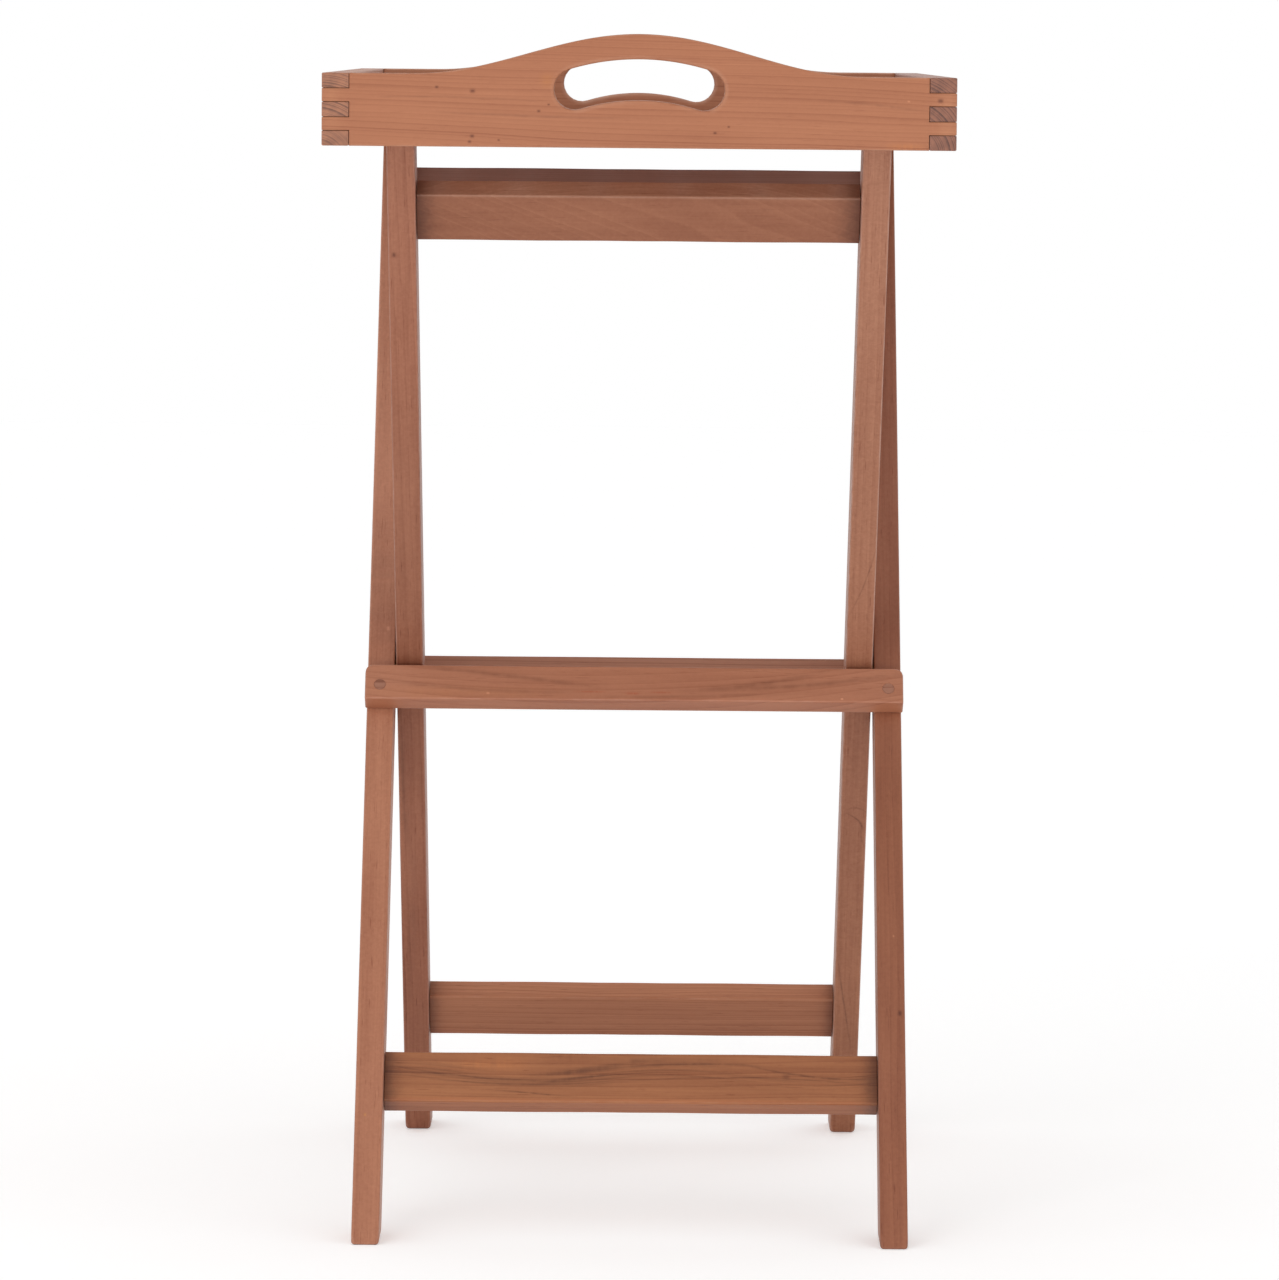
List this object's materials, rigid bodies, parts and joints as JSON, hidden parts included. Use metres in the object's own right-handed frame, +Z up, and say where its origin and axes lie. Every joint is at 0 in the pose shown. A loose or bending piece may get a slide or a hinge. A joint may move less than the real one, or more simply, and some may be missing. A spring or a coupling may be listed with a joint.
{
  "type": "folding tray table",
  "caption": "Rectangular wooden serving tray with raised ends pierced by curved hand holes, resting on the leg tops of a cross-legged folding stand held together by rails.",
  "frame": {"origin": "on the floor, under the middle of the tray and of the stand", "axes": "+X to the right along the tray's width, +Y away from the tray's near end along its length, +Z up"},
  "size_m": [0.41, 0.6, 0.8],
  "materials": {
    "teak": "satin oiled",
    "teak_dark": "satin oiled, darker boards",
    "brass": "satin"
  },
  "bodies": {
    "outer_frame": {"outer_leg_left": "teak", "outer_leg_right": "teak", "near_lower_rail": "teak", "far_top_rail": "teak", "near_stop_rail": "teak", "near_stop_plug_left": "teak_dark", "near_stop_plug_right": "teak_dark", "near_stop_screw_left": "brass", "near_stop_screw_right": "brass", "pivot_bolt_left": "brass", "pivot_bolt_right": "brass", "pivot_washer_left": "brass", "pivot_washer_right": "brass"},
    "inner_frame": {"inner_leg_left": "teak", "inner_leg_right": "teak", "far_lower_rail": "teak", "near_top_rail": "teak", "far_stop_rail": "teak", "far_stop_plug_left": "teak_dark", "far_stop_plug_right": "teak_dark", "far_stop_screw_left": "brass", "far_stop_screw_right": "brass", "pivot_nut_left": "brass", "pivot_nut_right": "brass"},
    "tray": {"near_end_board": "teak", "far_end_board": "teak", "left_side_board": "teak_dark", "right_side_board": "teak_dark", "slat_1": "teak", "slat_2": "teak", "slat_3": "teak", "slat_4": "teak", "slat_5": "teak", "slat_6": "teak", "slat_7": "teak", "near_batten": "teak_dark", "far_batten": "teak_dark", "near_slat_screw_1": "brass", "near_slat_screw_2": "brass", "near_slat_screw_3": "brass", "near_slat_screw_4": "brass", "near_slat_screw_5": "brass", "near_slat_screw_6": "brass", "near_slat_screw_7": "brass", "far_slat_screw_1": "brass", "far_slat_screw_2": "brass", "far_slat_screw_3": "brass", "far_slat_screw_4": "brass", "far_slat_screw_5": "brass", "far_slat_screw_6": "brass", "far_slat_screw_7": "brass"}
  },
  "joints": [
    {"name": "stand_fold", "type": "hinge", "parent": "outer_frame", "child": "inner_frame", "pos_m": [0, 0, 0.357], "axis": [-1, 0, 0], "range_deg": [0, 61]},
    {"name": "tray_lift", "type": "slide", "parent": "outer_frame", "child": "tray", "axis": [0, 0, 1], "range_m": [0, 0.45]}
  ],
  "couplings": [
    {"joint": "tray_lift", "follows": "stand_fold", "m_per_rad": 0.4}
  ]
}
